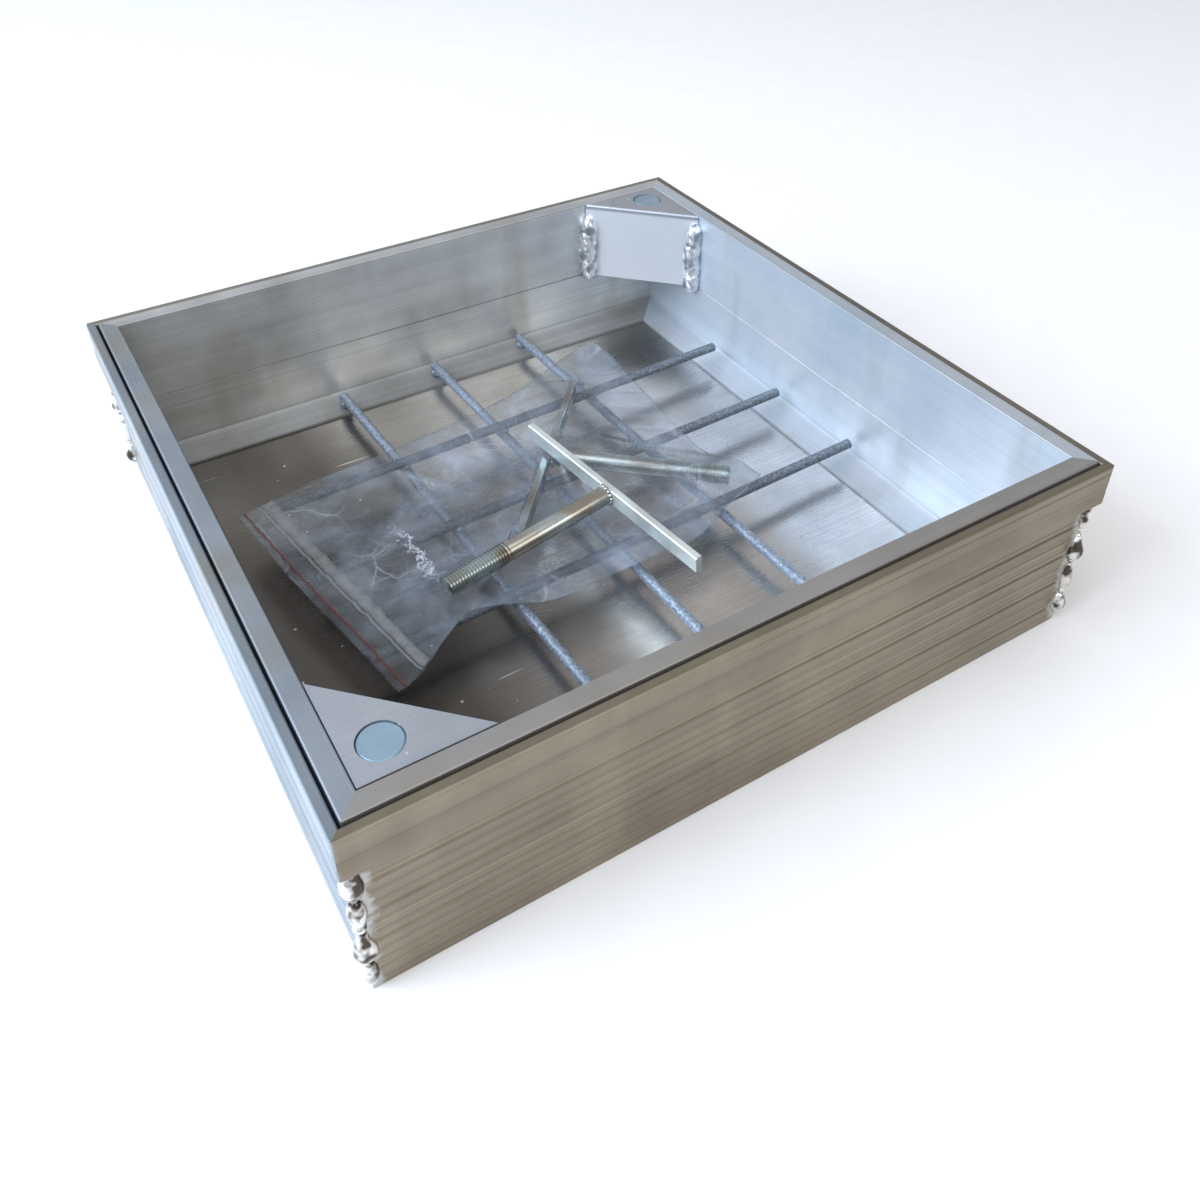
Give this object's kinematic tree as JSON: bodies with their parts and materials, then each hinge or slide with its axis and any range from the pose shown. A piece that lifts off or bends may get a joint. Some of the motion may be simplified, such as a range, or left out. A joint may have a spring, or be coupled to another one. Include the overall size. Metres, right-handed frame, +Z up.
{
  "type": "recessed manhole cover",
  "caption": "Square recessed manhole cover: aluminium frame and lift-out tray lid for paving, with key sockets under caps and T-shaped lifting keys.",
  "frame": {"origin": "middle of the frame's base, on the surface that it stands on", "axes": "+Z up, the way the lid lifts; +X along the front side; +Y from front to back"},
  "size_m": [0.4, 0.4, 0.1068],
  "materials": {
    "extruded_aluminium": "mill finish, drawn lines along each length",
    "sheet_aluminium": "mill finish, rolled",
    "weld_metal": "as welded, rippled",
    "rubber_seal": "matt black EPDM",
    "galvanised_bar": "rough galvanised",
    "zinc_plated_steel": "bright zinc plate",
    "key_weld": "zinc plated weld bead",
    "cap_steel": "satin zinc plate",
    "clear_film": "clear polyethylene film"
  },
  "bodies": {
    "frame": {"frame_rail_front": "extruded_aluminium", "frame_rail_right": "extruded_aluminium", "frame_rail_back": "extruded_aluminium", "frame_rail_left": "extruded_aluminium", "frame_gasket_front": "rubber_seal", "frame_gasket_right": "rubber_seal", "frame_gasket_back": "rubber_seal", "frame_gasket_left": "rubber_seal", "frame_welds_front_left": "weld_metal", "frame_welds_front_right": "weld_metal", "frame_welds_back_right": "weld_metal", "frame_welds_back_left": "weld_metal"},
    "lid": {"tray_rail_front": "extruded_aluminium", "tray_rail_right": "extruded_aluminium", "tray_rail_back": "extruded_aluminium", "tray_rail_left": "extruded_aluminium", "tray_floor": "sheet_aluminium", "floor_stitch_welds": "weld_metal", "tray_corner_welds": "weld_metal", "lengthwise_bar_left": "galvanised_bar", "lengthwise_bar_middle": "galvanised_bar", "lengthwise_bar_right": "galvanised_bar", "crosswise_bar_front": "galvanised_bar", "crosswise_bar_middle": "galvanised_bar", "crosswise_bar_back": "galvanised_bar", "mesh_tack_welds": "weld_metal", "corner_gusset_front": "sheet_aluminium", "key_socket_front": "zinc_plated_steel", "gusset_welds_front": "weld_metal", "corner_gusset_back": "sheet_aluminium", "key_socket_back": "zinc_plated_steel", "gusset_welds_back": "weld_metal"},
    "cap_front": {"socket_cap_front": "cap_steel"},
    "cap_back": {"socket_cap_back": "cap_steel"},
    "spare_key_bag": {"zip_bag": "clear_film", "key_two_rod": "zinc_plated_steel", "key_two_handle": "zinc_plated_steel", "key_two_weld": "key_weld"},
    "key_one": {"key_one_rod": "zinc_plated_steel", "key_one_handle": "zinc_plated_steel", "key_one_weld": "key_weld"}
  },
  "joints": [
    {"name": "lid_lift", "type": "slide", "parent": "frame", "child": "lid", "axis": [0, 0, 1], "range_m": [0, 0.15]},
    {"name": "cap_front_lift", "type": "slide", "parent": "lid", "child": "cap_front", "axis": [0, 0, 1], "range_m": [0, 0.12]},
    {"name": "cap_back_lift", "type": "slide", "parent": "lid", "child": "cap_back", "axis": [0, 0, 1], "range_m": [0, 0.12]},
    {"name": "bag_lift", "type": "slide", "parent": "lid", "child": "spare_key_bag", "axis": [0, 0, 1], "range_m": [0, 0.12]},
    {"name": "key_one_lift", "type": "slide", "parent": "spare_key_bag", "child": "key_one", "axis": [0, 0, 1], "range_m": [0, 0.08]}
  ]
}
